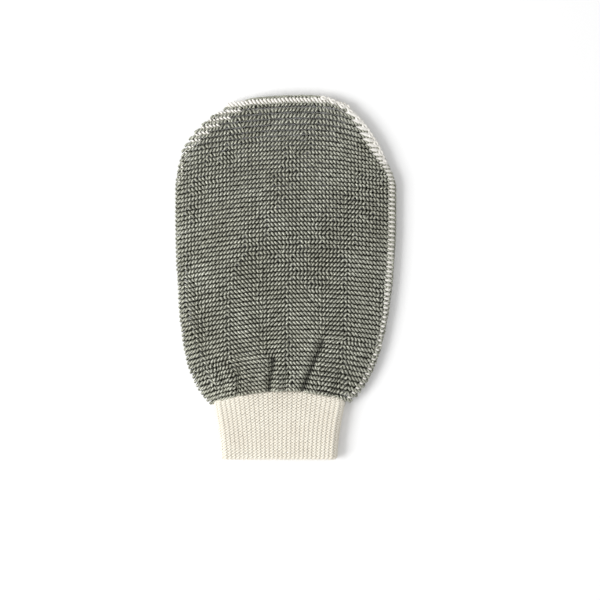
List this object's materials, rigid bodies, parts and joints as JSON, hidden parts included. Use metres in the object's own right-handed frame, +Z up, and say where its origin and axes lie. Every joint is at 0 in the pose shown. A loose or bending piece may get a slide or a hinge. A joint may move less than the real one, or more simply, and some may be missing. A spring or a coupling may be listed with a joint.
{
  "type": "knitted steel hand mitt",
  "caption": "Thumbless hand mitt of knitted steel yarn with an overlocked edge and a doubled cotton rib cuff, lying flat; a metal mesh cover for the hand.",
  "frame": {"origin": "on the resting face, under the middle of the overall length and width", "axes": "+Y from the cuff towards the rounded crown, +X to the right with the seamed edge, +Z up from the resting face"},
  "size_m": [0.1494, 0.25, 0.018],
  "materials": {
    "steel_knit": "knitted two-ply steel yarn, soft grey with a faint olive tint",
    "cotton_rib": "cream cotton rib knit, matte",
    "sewing_thread": "cream spun thread",
    "elastic": "covered elastic thread"
  },
  "bodies": {
    "bag": {"front_panel": "steel_knit", "back_panel": "steel_knit", "edge_needle_thread": "sewing_thread", "edge_upper_looper_thread": "sewing_thread", "edge_lower_looper_thread": "sewing_thread", "wrist_needle_thread": "sewing_thread", "wrist_upper_looper_thread": "sewing_thread", "wrist_lower_looper_thread": "sewing_thread"},
    "cuff": {"cuff_outer_layer": "cotton_rib", "cuff_inner_layer": "cotton_rib", "elastic_thread_1": "elastic", "elastic_thread_2": "elastic", "elastic_thread_3": "elastic", "elastic_thread_4": "elastic"}
  },
  "joints": [
    {"name": "wrist_bend", "type": "hinge", "parent": "bag", "child": "cuff", "pos_m": [-0.0046, -0.0855, 0.006], "axis": [-1, 0, 0], "range_deg": [0, 45]}
  ]
}
